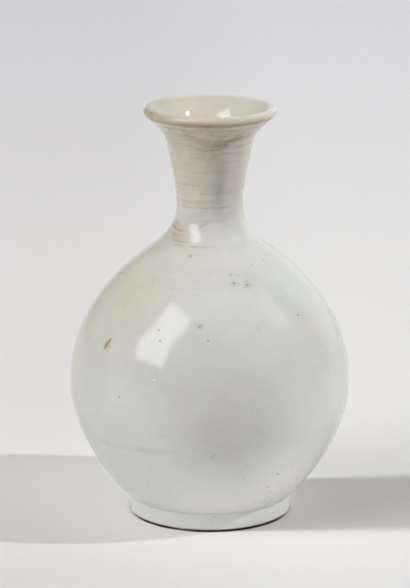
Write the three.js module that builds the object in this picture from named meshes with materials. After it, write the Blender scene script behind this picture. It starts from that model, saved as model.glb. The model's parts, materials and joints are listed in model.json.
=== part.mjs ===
// Porcelain bottle vase: a globe body with a trumpet neck, standing on a foot ring.
// It is built as the potter builds it. A foot ring, two bowls and a neck are thrown apart, luted together with slip
// in V-shaped joints, and covered with clear glaze outside, inside and under the base.
// Millimetres and degrees, +Z up. The origin is on the floor under the middle of the foot.
import * as THREE from "three";

// Radii of the glazed outside
const footRadius = 47.5;
const creaseStep = 0.6; // the foot ring's top stands out past its rim by this
const bellyRadius = 81.9;
const shoulderRadius = 33.3; // where the globe turns into the root of the neck
const waistRadius = 19.2;
const flareRadius = 24.7; // where the neck starts to open fast
const lipRadius = 38.1;
const lipRounding = 2.7;

// Heights, each from the one before it
const footHeight = 10.4; // floor to the crease between the foot and the globe
const bellyRise = 67.1;
const shoulderRise = 80.9;
const waistRise = 24.9;
const flareRise = 35.6;
const lipRise = 21.1; // to the top of the lip

// Which way the outside runs: 0 is level and outwards, 90 is straight up
const bowlAngle = 34.2; // above the crease
const plumb = 90; // at the belly and at the waist
const shoulderAngle = 144.1;
const flareAngle = 81.4;
const lipAngle = 50.1; // where the flare runs into the rounded lip

// Fullness: how far each curve holds its end's direction
const bowlPull = 11.8;
const underBellyPull = 27.9;
const overBellyPull = 38.3;
const shoulderPull = 28.4;
const neckRootPull = 9.5;
const underWaistPull = 11.5;
const overWaistPull = 13.3;
const neckTopPull = 10.5;
const flarePull = 8.5;
const underLipPull = 4.5;

// Thicknesses
const bodyWall = 5.6;
const shoulderWall = 5.2;
const neckWall = 4.6;
const baseThickness = 6;
const footRingWidth = 7.4;
const glazeCoat = 0.6;
const slipCoat = 0.5;
const bond = 0.03; // hairline between glaze and clay, so that their facets never cross

// Joints and edges
const bellySeamRise = 41.6; // above the crease
const neckSeamRise = 12.6; // above the shoulder's turn
const tongueDepth = 1.4; // of the V on the upper piece, which sits in a groove of the lower one
const bareRim = 1.5; // height of the foot left without glaze
const rimBevel = 0.9;
const floorPull = 22; // how far the floor inside stays level
const floorCornerPull = 9;
const floorMeetsWall = 0.24; // share of the lower curve at which the floor inside has become the wall

// Facets
const turns = 36;
const lowerSteps = 7;
const upperSteps = 9;
const rootSteps = 3;
const neckSteps = 3;
const flareSteps = 4;
const lipSteps = 6;
const floorSteps = 3;

// The heights that the rises add up to
const bellyHeight = footHeight + bellyRise;
const shoulderHeight = bellyHeight + shoulderRise;
const waistHeight = shoulderHeight + waistRise;
const flareHeight = waistHeight + flareRise;
const vaseHeight = flareHeight + lipRise;
const creaseRadius = footRadius + creaseStep;
const ringBore = footRadius - glazeCoat - footRingWidth;

const point = (radius, height) => new THREE.Vector2(radius, height);
const heading = (degrees) => {
  const angle = THREE.MathUtils.degToRad(degrees);
  return point(Math.cos(angle), Math.sin(angle));
};

// One curve of the side view: it leaves `from` and arrives at `to` along the given directions
function curve(from, fromAngle, fromPull, to, toAngle, toPull) {
  const leave = from.clone().addScaledVector(heading(fromAngle), fromPull);
  const arrive = to.clone().addScaledVector(heading(toAngle), -toPull);
  return new THREE.CubicBezierCurve(from, leave, arrive, to);
}

const crease = point(creaseRadius, footHeight);
const belly = point(bellyRadius, bellyHeight);
const shoulder = point(shoulderRadius, shoulderHeight);
const waist = point(waistRadius, waistHeight);
const flareStart = point(flareRadius, flareHeight);
const lipCentre = point(lipRadius - lipRounding, vaseHeight - lipRounding);
const lipStart = lipCentre.clone().addScaledVector(heading(lipAngle - 90), lipRounding);

const lowerBody = {
  path: curve(crease, bowlAngle, bowlPull, belly, plumb, underBellyPull),
  wall: [bodyWall, bodyWall],
  steps: lowerSteps,
};
const upperBody = {
  path: curve(belly, plumb, overBellyPull, shoulder, shoulderAngle, shoulderPull),
  wall: [bodyWall, shoulderWall],
  steps: upperSteps,
};
const neckRoot = {
  path: curve(shoulder, shoulderAngle, neckRootPull, waist, plumb, underWaistPull),
  wall: [shoulderWall, neckWall],
  steps: rootSteps,
};
const neckSide = {
  path: curve(waist, plumb, overWaistPull, flareStart, flareAngle, neckTopPull),
  wall: [neckWall, neckWall],
  steps: neckSteps,
};
const flare = {
  path: curve(flareStart, flareAngle, flarePull, lipStart, lipAngle, underLipPull),
  wall: [neckWall, 2 * lipRounding],
  steps: flareSteps,
};

// A station is one place along the wall, with its layers on one line square to the outside:
// the outer glaze and its back, the clay outside and inside, and the inner glaze's back and surface
function station(stretch, share) {
  const outside = stretch.path.getPoint(share);
  const along = stretch.path.getTangent(share);
  const inwards = point(-along.y, along.x);
  const wall = THREE.MathUtils.lerp(stretch.wall[0], stretch.wall[1], share);
  const at = (depth) => outside.clone().addScaledVector(inwards, depth);
  return {
    along,
    glaze: at(0),
    glazeBack: at(glazeCoat - bond),
    clay: at(glazeCoat),
    inside: at(wall - glazeCoat),
    linerBack: at(wall - glazeCoat + bond),
    liner: at(wall),
  };
}

// Stations spread evenly between two shares of one stretch, both ends among them
function stationsBetween(stretch, first, last) {
  const count = Math.max(1, Math.round((last - first) * stretch.steps));
  return Array.from({ length: count + 1 }, (_, i) =>
    station(stretch, THREE.MathUtils.lerp(first, last, i / count)),
  );
}

// The share of a rising curve at which it reaches a height
function shareAtHeight(path, height) {
  let low = 0;
  let high = 1;
  for (let i = 0; i < 40; i += 1) {
    const middle = (low + high) / 2;
    if (path.getPoint(middle).y < height) low = middle;
    else high = middle;
  }
  return low;
}

// A luted joint: the wall stops at one share and starts again above the coat of slip
function seamAt(stretch, height) {
  const below = shareAtHeight(stretch.path, height);
  return { below, above: below + slipCoat / stretch.path.getLength() };
}

const bellySeam = seamAt(lowerBody, footHeight + bellySeamRise);
const neckSeam = seamAt(neckRoot, shoulderHeight + neckSeamRise);

const lowerWall = stationsBetween(lowerBody, floorMeetsWall, bellySeam.below);
const upperWall = [
  ...stationsBetween(lowerBody, bellySeam.above, 1),
  ...stationsBetween(upperBody, 0, 1).slice(1),
  ...stationsBetween(neckRoot, 0, neckSeam.below).slice(1),
];
const neckWallStations = [
  ...stationsBetween(neckRoot, neckSeam.above, 1),
  ...stationsBetween(neckSide, 0, 1).slice(1),
  ...stationsBetween(flare, 0, 1).slice(1),
];
const wholeWall = [...lowerWall, ...upperWall, ...neckWallStations];
const pick = (stations, layer) => stations.map((place) => place[layer]);

// The lip's round at a distance from its centre, without its two ends, which are stations of the flare
function lipRound(radius) {
  return Array.from({ length: lipSteps - 1 }, (_, i) => {
    const angle = lipAngle - 90 + (180 * (i + 1)) / lipSteps;
    return lipCentre.clone().addScaledVector(heading(angle), radius);
  });
}

// Clay at the crease, as deep under the foot's glaze as under the globe's
const footAlong = crease.clone().sub(point(footRadius, bareRim)).normalize();
const bowlAlong = heading(bowlAngle);
const creaseInwards = point(-footAlong.y - bowlAlong.y, footAlong.x + bowlAlong.x).divideScalar(
  1 + footAlong.dot(bowlAlong),
);
const creaseClay = crease.clone().addScaledVector(creaseInwards, glazeCoat);
const creaseGlazeBack = crease.clone().addScaledVector(creaseInwards, glazeCoat - bond);
const ringTop = creaseClay.y - slipCoat;
const rimClay = point(footRadius - glazeCoat, bareRim);
const ringShoulder = rimClay.clone().lerp(creaseClay, (ringTop - bareRim) / (creaseClay.y - bareRim));

// Outside between the crease and the first station of the wall
const bowlFoot = stationsBetween(lowerBody, 0, floorMeetsWall).slice(1, -1);

// The floor inside, from the axis to the wall
const floorStart = point(0, creaseClay.y + baseThickness);
const floorEnd = lowerWall[0];
const floorCurve = new THREE.CubicBezierCurve(
  floorStart,
  point(floorPull, floorStart.y),
  floorEnd.inside.clone().addScaledVector(floorEnd.along, -floorCornerPull),
  floorEnd.inside,
);
const floor = Array.from({ length: floorSteps }, (_, i) => {
  const clay = floorCurve.getPoint(i / floorSteps);
  const along = floorCurve.getTangent(i / floorSteps);
  const above = (depth) => clay.clone().addScaledVector(point(-along.y, along.x), depth);
  return { clay, linerBack: above(bond), liner: above(glazeCoat) };
});

// The face of a joint from its outer end to its inner one, with the V's point in the middle
function jointFace(outer, inner, down) {
  const middle = outer.clone().lerp(inner, 0.5).addScaledVector(down, tongueDepth);
  return [outer, middle, inner];
}
const wallFace = (place) => jointFace(place.clay, place.inside, place.along.clone().negate());

const bowlUnderFace = jointFace(creaseClay, point(ringBore, creaseClay.y), point(0, -1));
const ringTopFace = jointFace(ringShoulder, point(ringBore, ringTop), point(0, -1));
const bellyLowerFace = wallFace(lowerWall.at(-1));
const bellyUpperFace = wallFace(upperWall[0]);
const neckLowerFace = wallFace(upperWall.at(-1));
const neckUpperFace = wallFace(neckWallStations[0]);

const porcelain = () => new THREE.MeshStandardMaterial({ color: 0xe6e1d6, roughness: 0.85 });
const slip = () => new THREE.MeshStandardMaterial({ color: 0xd3c7b2, roughness: 0.9 });
const glaze = () => new THREE.MeshStandardMaterial({ color: 0xc4c5be, roughness: 0.12 });

// A turned piece, from its outline in the order that faces it outwards: out along the bottom, up, and back in
function turned(name, outline, material) {
  const geometry = new THREE.LatheGeometry(outline, turns);
  geometry.rotateX(Math.PI / 2);
  const mesh = new THREE.Mesh(geometry, material);
  mesh.name = name;
  return mesh;
}
const ring = (name, outline, material) => turned(name, [...outline, outline[0]], material);
const slipRing = (name, lower, upper) => ring(name, [...[...lower].reverse(), ...upper], slip());

function footRing() {
  const outline = [
    point(ringBore + rimBevel, 0),
    point(rimClay.x - rimBevel, 0),
    rimClay,
    ...ringTopFace,
    point(ringBore, bareRim),
  ];
  return ring("foot_ring", outline, porcelain());
}

function lowerBowl() {
  const outline = [
    point(0, creaseClay.y),
    ...[...bowlUnderFace].reverse(),
    ...pick(bowlFoot, "clay"),
    ...pick(lowerWall.slice(0, -1), "clay"),
    ...bellyLowerFace,
    ...pick(lowerWall.slice(0, -1), "inside").reverse(),
    ...pick(floor, "clay").reverse(),
  ];
  return turned("lower_bowl", outline, porcelain());
}

function upperBowl() {
  const outline = [
    ...[...bellyUpperFace].reverse(),
    ...pick(upperWall.slice(1, -1), "clay"),
    ...neckLowerFace,
    ...pick(upperWall.slice(1, -1), "inside").reverse(),
  ];
  return ring("upper_bowl", outline, porcelain());
}

function neck() {
  const outline = [
    ...[...neckUpperFace].reverse(),
    ...pick(neckWallStations.slice(1), "clay"),
    ...lipRound(lipRounding - glazeCoat),
    ...pick(neckWallStations.slice(1), "inside").reverse(),
  ];
  return ring("neck", outline, porcelain());
}

function outerGlaze() {
  const lipEnd = neckWallStations.at(-1);
  const surface = [
    point(footRadius, bareRim),
    crease,
    ...pick(bowlFoot, "glaze"),
    ...pick(wholeWall, "glaze"),
    ...lipRound(lipRounding),
    lipEnd.liner,
  ];
  const backing = [
    point(rimClay.x + bond, bareRim),
    creaseGlazeBack,
    ...pick(bowlFoot, "glazeBack"),
    ...pick(wholeWall, "glazeBack"),
    ...lipRound(lipRounding - glazeCoat + bond),
    lipEnd.linerBack,
  ];
  return ring("outer_glaze", [...surface, ...backing.reverse()], glaze());
}

function innerGlaze() {
  const backing = [...pick(floor, "linerBack"), ...pick(wholeWall, "linerBack")];
  const surface = [...pick(floor, "liner"), ...pick(wholeWall, "liner")];
  return turned("inner_glaze", [...backing, ...surface.reverse()], glaze());
}

function baseGlaze() {
  const backRadius = ringBore - bond;
  const backHeight = creaseClay.y - bond;
  const surfaceRadius = ringBore - glazeCoat;
  const surfaceHeight = creaseClay.y - glazeCoat;
  const outline = [
    point(0, surfaceHeight),
    point(surfaceRadius, surfaceHeight),
    point(surfaceRadius, bareRim),
    point(backRadius, bareRim),
    point(backRadius, backHeight),
    point(0, backHeight),
  ];
  return turned("base_glaze", outline, glaze());
}

const vase = new THREE.Group();
vase.name = "bottle_vase";
vase.add(
  footRing(),
  slipRing("foot_slip", ringTopFace, bowlUnderFace),
  lowerBowl(),
  slipRing("belly_slip", bellyLowerFace, bellyUpperFace),
  upperBowl(),
  slipRing("neck_slip", neckLowerFace, neckUpperFace),
  neck(),
  outerGlaze(),
  innerGlaze(),
  baseGlaze(),
);

export default vase;
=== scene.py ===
import json
from math import ceil, cos, pi, radians, sin
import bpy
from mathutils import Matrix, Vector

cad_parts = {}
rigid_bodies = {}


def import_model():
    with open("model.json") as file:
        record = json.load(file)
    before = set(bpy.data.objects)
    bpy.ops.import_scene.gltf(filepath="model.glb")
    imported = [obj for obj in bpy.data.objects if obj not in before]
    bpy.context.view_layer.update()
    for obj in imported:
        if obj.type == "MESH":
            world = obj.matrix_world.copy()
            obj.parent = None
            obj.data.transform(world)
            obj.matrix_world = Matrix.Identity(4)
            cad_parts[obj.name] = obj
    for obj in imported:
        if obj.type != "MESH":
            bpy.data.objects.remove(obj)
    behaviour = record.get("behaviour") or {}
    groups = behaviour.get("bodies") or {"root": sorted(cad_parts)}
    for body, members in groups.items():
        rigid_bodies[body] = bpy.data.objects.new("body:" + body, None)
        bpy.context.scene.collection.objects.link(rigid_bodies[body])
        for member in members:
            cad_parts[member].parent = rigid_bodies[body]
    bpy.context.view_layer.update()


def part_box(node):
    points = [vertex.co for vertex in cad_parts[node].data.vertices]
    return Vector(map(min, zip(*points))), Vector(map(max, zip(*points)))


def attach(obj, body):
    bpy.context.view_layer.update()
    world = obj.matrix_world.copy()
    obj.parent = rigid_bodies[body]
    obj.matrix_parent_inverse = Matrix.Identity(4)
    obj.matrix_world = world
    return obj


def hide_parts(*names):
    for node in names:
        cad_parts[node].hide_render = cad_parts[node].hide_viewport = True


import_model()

from types import SimpleNamespace

import bpy
from mathutils import Vector

# A porcelain bottle vase: foot ring, two bowls and a neck luted with slip, under clear glaze.
# Metres and degrees, where no note says millimetres. Azimuth 0 faces the camera, and 90 is to its right.

mm = 0.001
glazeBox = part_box("outer_glaze")


def table(columns, *rows):  # one dictionary for each row; a row may leave out its last columns
    return [dict(zip(columns.split(), row)) for row in rows]


def feed(tree, made, inputs):  # an input is a plain value or another node's output
    for key, value in inputs.items():
        if isinstance(value, bpy.types.NodeSocket):
            tree.links.new(value, made.inputs[key])
        else:
            made.inputs[key].default_value = value


def node(tree, kind, inputs=None, **settings):
    made = tree.nodes.new(kind)
    for name, value in settings.items():
        setattr(made, name, value)
    feed(tree, made, inputs or {})
    return made


def calc(tree, operation, *values):
    return node(tree, "ShaderNodeMath", dict(enumerate(values)), operation=operation).outputs[0]


def times(tree, value, *others):
    for other in others:
        value = calc(tree, "MULTIPLY", value, other)
    return value


def vectorCalc(tree, operation, *values, out=0):
    made = node(tree, "ShaderNodeVectorMath", dict(enumerate(values)), operation=operation)
    return made.outputs[out]


def scaled(tree, vector, factor):
    return node(tree, "ShaderNodeVectorMath", {0: vector, "Scale": factor}, operation="SCALE").outputs[0]


def axes(tree, vector):
    return node(tree, "ShaderNodeSeparateXYZ", {0: vector}).outputs


def flatLength(tree, vector):  # how far a point is from the pot's axis
    return vectorCalc(tree, "LENGTH", vectorCalc(tree, "MULTIPLY", vector, (1, 1, 0)), out=1)


def fade(tree, value, start, end, low=0.0, high=1.0, curve="SMOOTHSTEP"):  # low at start and high at end
    inputs = {"Value": value, "From Min": start, "From Max": end, "To Min": low, "To Max": high}
    return node(tree, "ShaderNodeMapRange", inputs, interpolation_type=curve).outputs[0]


def noiseAt(tree, point, scale, detail=2.0, rough=0.5, seed=0.0):  # 0 to 1; three scales stretch it
    if isinstance(scale, tuple):
        point = vectorCalc(tree, "MULTIPLY", point, scale)
        scale = 1.0
    inputs = {"Vector": point, "W": seed, "Scale": scale, "Detail": detail, "Roughness": rough}
    return node(tree, "ShaderNodeTexNoise", inputs, noise_dimensions="4D").outputs[0]


def newTree(name, inputs, output):  # a socket is a name, a kind and, where it has one, a default
    tree = bpy.data.node_groups.new(name, "GeometryNodeTree")
    for label, kind, *default in inputs:
        socket = tree.interface.new_socket(label, in_out="INPUT", socket_type="NodeSocket" + kind)
        if default:
            socket.default_value = default[0]
    tree.interface.new_socket(output[0], in_out="OUTPUT", socket_type="NodeSocket" + output[1])
    return tree, tree.nodes.new("NodeGroupInput").outputs, tree.nodes.new("NodeGroupOutput").inputs[0]


def through(tree, geometry, *steps):  # leads a geometry through one node after another
    for kind, inputs in steps:
        geometry = node(tree, "GeometryNode" + kind, {0: geometry, **inputs}).outputs[0]
    return geometry


# Side view of the pot

sideView = {  # millimetres and degrees; the bare rim is narrower than the CAD model's
    "footRadius": 47.5, "creaseStep": 0.6, "shoulderRadius": 33.3, "waistRadius": 19.2,
    "flareRadius": 24.7, "lipRadius": 38.1, "lipRounding": 2.7,
    "creaseHeight": 10.4, "bellyHeight": 77.5, "shoulderHeight": 158.4,
    "waistHeight": 183.3, "flareHeight": 218.9,
    "bowlAngle": 34.2, "plumb": 90, "shoulderAngle": 144.1, "flareAngle": 81.4, "lipAngle": 50.1,
    "bowlPull": 11.8, "underBellyPull": 27.9, "overBellyPull": 38.3, "shoulderPull": 28.4,
    "neckRootPull": 9.5, "underWaistPull": 11.5, "overWaistPull": 13.3, "neckTopPull": 10.5,
    "flarePull": 8.5, "underLipPull": 4.5,
    "bodyWall": 5.6, "shoulderWall": 5.2, "neckWall": 4.6, "baseThickness": 6,
    "footRingWidth": 7.4, "glazeCoat": 0.6, "slipCoat": 0.5, "bond": 0.03,
    "bellySeamHeight": 52, "neckSeamHeight": 171, "tongueDepth": 1.4,
    "bareRim": 0.5, "rimBevel": 0.5, "floorPull": 22, "floorCornerPull": 9, "floorMeetsWall": 0.24,
}
notLengths = ("plumb", "floorMeetsWall")  # upright, and a share of the lower body's curve
side = SimpleNamespace(**{
    name: value if name.endswith("Angle") or name in notLengths else value * mm
    for name, value in sideView.items()
})
bellyRadius = glazeBox[1].x
lipTop = glazeBox[1].z


def spot(radius, height):
    return Vector((radius, height))


def heading(degrees):
    return spot(cos(radians(degrees)), sin(radians(degrees)))


def wallStretch(start, end, angles, pulls, walls, step):  # a curve up the outside, and the wall behind it
    path = (start, start + heading(angles[0]) * pulls[0], end - heading(angles[1]) * pulls[1], end)
    return {"path": path, "wall": walls, "step": step}


def follow(path, share):  # the point at a share of a curve, and the way it runs there
    a, b, c, d = path
    left = 1 - share
    point = a * left**3 + b * (3 * left**2 * share) + c * (3 * left * share**2) + d * share**3
    direction = (b - a) * left**2 + (c - b) * (2 * left * share) + (d - c) * share**2
    return point, direction.normalized()


crease = spot(side.footRadius + side.creaseStep, side.creaseHeight)
belly = spot(bellyRadius, side.bellyHeight)
shoulder = spot(side.shoulderRadius, side.shoulderHeight)
waist = spot(side.waistRadius, side.waistHeight)
flareStart = spot(side.flareRadius, side.flareHeight)
lipCentre = spot(side.lipRadius - side.lipRounding, lipTop - side.lipRounding)
lipStart = lipCentre + heading(side.lipAngle - 90) * side.lipRounding

bodyStep, neckStep = 1.8 * mm, 0.62 * mm  # distance between the rings of the glazed surface
lowerBody = wallStretch(
    crease, belly, (side.bowlAngle, side.plumb), (side.bowlPull, side.underBellyPull),
    (side.bodyWall, side.bodyWall), bodyStep)
upperBody = wallStretch(
    belly, shoulder, (side.plumb, side.shoulderAngle), (side.overBellyPull, side.shoulderPull),
    (side.bodyWall, side.shoulderWall), bodyStep)
neckRoot = wallStretch(
    shoulder, waist, (side.shoulderAngle, side.plumb), (side.neckRootPull, side.underWaistPull),
    (side.shoulderWall, side.neckWall), neckStep)
neckSide = wallStretch(
    waist, flareStart, (side.plumb, side.flareAngle), (side.overWaistPull, side.neckTopPull),
    (side.neckWall, side.neckWall), neckStep)
flare = wallStretch(
    flareStart, lipStart, (side.flareAngle, side.lipAngle), (side.flarePull, side.underLipPull),
    (side.neckWall, 2 * side.lipRounding), neckStep)
stretches = (lowerBody, upperBody, neckRoot, neckSide, flare)


def pathLength(path, pieces=60):
    points = [follow(path, i / pieces)[0] for i in range(pieces + 1)]
    return sum((b - a).length for a, b in zip(points, points[1:]))


def station(stretch, share):  # a place on the wall: its outside, the way in, and the wall's thickness
    point, direction = follow(stretch["path"], share)
    start, end = stretch["wall"]
    inwards = spot(-direction.y, direction.x)
    return {"outside": point, "along": direction, "in": inwards, "wall": start + (end - start) * share}


def stations(stretch, first=0.0, last=1.0, coarse=1):  # about one step times coarse apart
    count = max(2, ceil((last - first) * pathLength(stretch["path"]) / (stretch["step"] * coarse)))
    return [station(stretch, first + (last - first) * i / count) for i in range(count + 1)]


def outside(places, depth=0.0):
    return [place["outside"] + place["in"] * depth for place in places]


def inside(places, depth=0.0):  # from the wall's inner surface; a negative depth is in the clay
    return [place["outside"] + place["in"] * (place["wall"] + depth) for place in places]


def shareAt(stretch, height):  # where a curve reaches a height, found by halving
    low, high = 0.0, 1.0
    for _ in range(40):
        middle = (low + high) / 2
        if follow(stretch["path"], middle)[0].y < height:
            low = middle
        else:
            high = middle
    return low


lipTurn = 75  # degrees, where the lip's round runs into the long curve of its inner side
lipTurnPull, lipInnerPull = 2.4 * mm, 3.0 * mm
lipInnerShare = 0.72  # of the flare, where that curve meets the wall
lipSplit = 0.92  # of that curve, where the outer glaze ends
lipInner = station(flare, lipInnerShare)
lipInnerEnd = inside([lipInner])[0]
lipShoulder = lipCentre + heading(lipTurn) * side.lipRounding
lipCurve = (lipShoulder, lipShoulder + heading(lipTurn + 90) * lipTurnPull,
            lipInnerEnd + lipInner["along"] * lipInnerPull, lipInnerEnd)


def lipRound(radius, count):
    start = side.lipAngle - 90
    return [lipCentre + heading(start + (lipTurn - start) * (i + 1) / count) * radius for i in range(count)]


def pointsOf(places):
    return [point for point, way in places]


def lipOver(first, last, count, depth=0.0):  # along the lip's inner curve, with the way out of the clay
    places = []
    for i in range(count + 1):
        point, direction = follow(lipCurve, first + (last - first) * i / count)
        out = spot(direction.y, -direction.x)
        places.append((point - out * depth, out))
    return places


def wholeWall(first=0.0, coarse=1, last=1.0):
    places = stations(lowerBody, first, 1.0, coarse)
    for stretch in stretches[1:-1]:
        places += stations(stretch, coarse=coarse)[1:]
    return places + stations(stretches[-1], 0.0, last, coarse)[1:]


bellyShare = shareAt(lowerBody, side.bellySeamHeight)
bellyShareAbove = bellyShare + side.slipCoat / pathLength(lowerBody["path"])
neckShare = shareAt(neckRoot, side.neckSeamHeight)
neckShareAbove = neckShare + side.slipCoat / pathLength(neckRoot["path"])
ringBore = side.footRadius - side.glazeCoat - side.footRingWidth
creaseClay = crease + spot(-0.58 * mm, 0.33 * mm)  # where the clay turns, under the glaze
ringTop = creaseClay.y - side.slipCoat
rimClay = spot(side.footRadius - side.glazeCoat, side.bareRim)
ringShoulder = rimClay.lerp(creaseClay, (ringTop - rimClay.y) / (creaseClay.y - rimClay.y))
print("side view: belly", round(bellyRadius / mm, 1), "mm, top", round(lipTop / mm, 1), "mm")


# The potter's marks: lines pressed in by fingers and tools, with the stain that settled in them

marks = table(  # millimetres, the azimuths a line runs between, and its stain's colour and strength
    "at rise wide from to deep ink stain",
    (54.6, 3.0, 1.3, -60, -8, 0.52, "pool", 0.34),
    (57.0, 3.0, 1.2, -60, -22, -0.36, "pool", 0.0),
    (52.0, 3.0, 1.2, -56, -22, -0.30, "pool", 0.0),
    (55.0, -2.0, 1.3, 112, 170, 0.45, "pool", 0.30),
    (57.3, -2.0, 1.2, 112, 170, -0.30, "pool", 0.0),
    (231.6, 0.4, 0.7, -95, 95, 0.10, "brown", 0.22),
    (229.0, 0.8, 0.8, -85, 45, -0.10, "brown", 0.0),
    (227.4, 0.8, 0.6, -85, 45, 0.08, "brown", 0.16),
    (223.2, 12.0, 2.8, -16, 70, 0.03, "brown", 0.38),
    (205.4, 0.8, 0.8, -45, 45, 0.03, "olive", 0.16),
    (197.0, 0.5, 0.5, -70, 30, 0.04, "brown", 0.13),
    (193.0, -0.7, 0.5, -50, 0, 0.03, "brown", 0.10),
    (184.1, 0.9, 0.5, -80, 55, 0.06, "brown", 0.42),
    (176.8, 0.3, 0.5, -24, 34, 0.05, "brown", 0.18),
    (174.4, 3.2, 0.6, -20, -1, 0.06, "brown", 0.28),
    (170.8, -0.9, 0.6, -88, -32, 0.12, "sienna", 0.95),
    (168.2, -0.4, 0.5, -84, -48, 0.04, "ochre", 0.55),
    (165.0, 0.4, 0.4, -62, -8, 0.03, "brown", 0.30),
    (163.3, 0.6, 0.5, -66, 12, 0.04, "ochre", 0.50),
)
smudgesAndPaintedShade = table(  # soft stains and painted shade: half widths in degrees and millimetres; an even one isn't broken into patches
    "azimuth height turn rise ink strength even",
    # these three: painted shade, the dark upright band on the front of the neck between the lamps' light, not
    # stains
    (16, 218, 14, 4.6, "olive", 0.30),
    (15, 209, 12, 4.5, "olive", 0.20, True),
    (15, 196, 12, 13, "olive", 0.42, True),
    (0, 225, 62, 13, "sienna", 0.42),
    (34, 228, 24, 5, "brown", 0.10),
    (42, 192, 12, 10, "brown", 0.10),
    (-55, 167, 26, 4.0, "ochre", 0.38),
    (5, 184, 9, 1.4, "olive", 0.34),
    (-70, 173, 17, 2.0, "ochre", 0.60),
    # painted shade under the lip's overhang, not a stain
    (-40, 231, 40, 3.8, "brown", 0.14),
    (-66, 238, 22, 2.2, "moss", 0.95),
    (-84, 237.2, 20, 2.2, "moss", 0.90),
    (-76, 236.4, 22, 1.5, "brown", 0.45),
    (20, 235, 18, 1.3, "brown", 0.45),
)
dents = table(  # millimetres, where a thumb pressed the wall in, or out where the depth is negative
    "azimuth height wide deep",
    (-13, 117, 15, 0.20), (-37, 124, 14, -0.16), (40, 132, 22, 0.25), (5, 66, 30, 0.35),
    (62, 70, 26, 0.30), (-60, 84, 28, 0.28), (150, 92, 32, 0.40), (-140, 108, 28, 0.35),
)
reliefLook = {
    "waver": 1.1 * mm, "waverScale": 40.0,  # how far a pressed line strays up and down
    "rings": (9, 9, 420), "onNeck": (0.150, 0.176), "onBody": 0.2,  # the rings are shallower below the neck
    "lineEnds": (1.0, 0.45),  # of half a line's run, where it begins and where it is full
}


def radiusAt(height):  # of the glazed outside, in metres
    for stretch in stretches:
        if height <= stretch["path"][3].y:
            return follow(stretch["path"], shareAt(stretch, height))[0].x
    return side.lipRadius


def onPot(azimuth, height):  # a point of the outside; the height is in millimetres
    radius, turn = radiusAt(height * mm), radians(azimuth)
    return Vector((radius * sin(turn), -radius * cos(turn), height * mm))


def turnAndHeight(tree, point):  # degrees round from the front, and a height with the pressed lines' waver
    across, depth, height = axes(tree, point)
    turned = calc(tree, "ARCTAN2", across, times(tree, depth, -1.0))
    stray = calc(tree, "SUBTRACT", noiseAt(tree, point, reliefLook["waverScale"], 2.0, seed=6.1), 0.5)
    return calc(tree, "DEGREES", turned), calc(tree, "MULTIPLY_ADD", stray, reliefLook["waver"], height)


def bell(tree, square):  # 1 where the square is 0, falling off like a bell
    return calc(tree, "EXPONENT", times(tree, square, -1.0))


def markStrength(tree, turned, height, mark):  # 1 on a mark's middle line, fading to its sides and ends
    middle, half = (mark["from"] + mark["to"]) / 2, (mark["to"] - mark["from"]) / 2
    along = calc(tree, "SUBTRACT", turned, middle)
    line = calc(tree, "MULTIPLY_ADD", along, mark["rise"] * mm / (2 * half), mark["at"] * mm)
    off = calc(tree, "DIVIDE", calc(tree, "SUBTRACT", height, line), mark["wide"] * mm)
    run = calc(tree, "DIVIDE", calc(tree, "ABSOLUTE", along), half)
    return times(tree, bell(tree, times(tree, off, off)), fade(tree, run, *reliefLook["lineEnds"]))


def smudgeStrength(tree, turned, height, smudge):
    aside = calc(tree, "DIVIDE", calc(tree, "SUBTRACT", turned, smudge["azimuth"]), smudge["turn"])
    above = calc(tree, "DIVIDE", calc(tree, "SUBTRACT", height, smudge["height"] * mm), smudge["rise"] * mm)
    return bell(tree, calc(tree, "MULTIPLY_ADD", aside, aside, times(tree, above, above)))


def reliefTree():
    tree, given, result = newTree(
        "thrownRelief",
        (("Point", "Vector"), ("Wobble", "Float", 0.0003), ("Wobble scale", "Float", 22.0),
         ("Throwing rings", "Float", 0.00005), ("Seed", "Float", 3.0)),
        ("Relief", "Float"))
    point, seed = given["Point"], given["Seed"]
    wide = noiseAt(tree, scaled(tree, point, given["Wobble scale"]), 1.0, 1.0, seed=seed)
    relief = times(tree, calc(tree, "MULTIPLY_ADD", wide, 2.0, -1.0), given["Wobble"])
    rings = calc(tree, "SUBTRACT", noiseAt(tree, point, reliefLook["rings"], 2.0, 0.6, seed=seed), 0.5)
    turned, height = turnAndHeight(tree, point)
    share = fade(tree, height, *reliefLook["onNeck"], reliefLook["onBody"])
    relief = calc(tree, "MULTIPLY_ADD", rings, times(tree, given["Throwing rings"], share), relief)
    for mark in marks:
        strength = markStrength(tree, turned, height, mark)
        relief = calc(tree, "MULTIPLY_ADD", strength, -mark["deep"] * mm, relief)
    for dent in dents:
        away = vectorCalc(tree, "DISTANCE", point, onPot(dent["azimuth"], dent["height"]), out=1)
        pressed = fade(tree, away, dent["wide"] * mm, 0.0)
        relief = calc(tree, "MULTIPLY_ADD", pressed, -dent["deep"] * mm, relief)
    tree.links.new(relief, result)
    return tree


# The lathe: turns an outline round the axis, then lets the relief push the surface where it leans out

weldWithin = 0.002 * mm  # joins the last column to the first, and closes the poles


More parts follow.
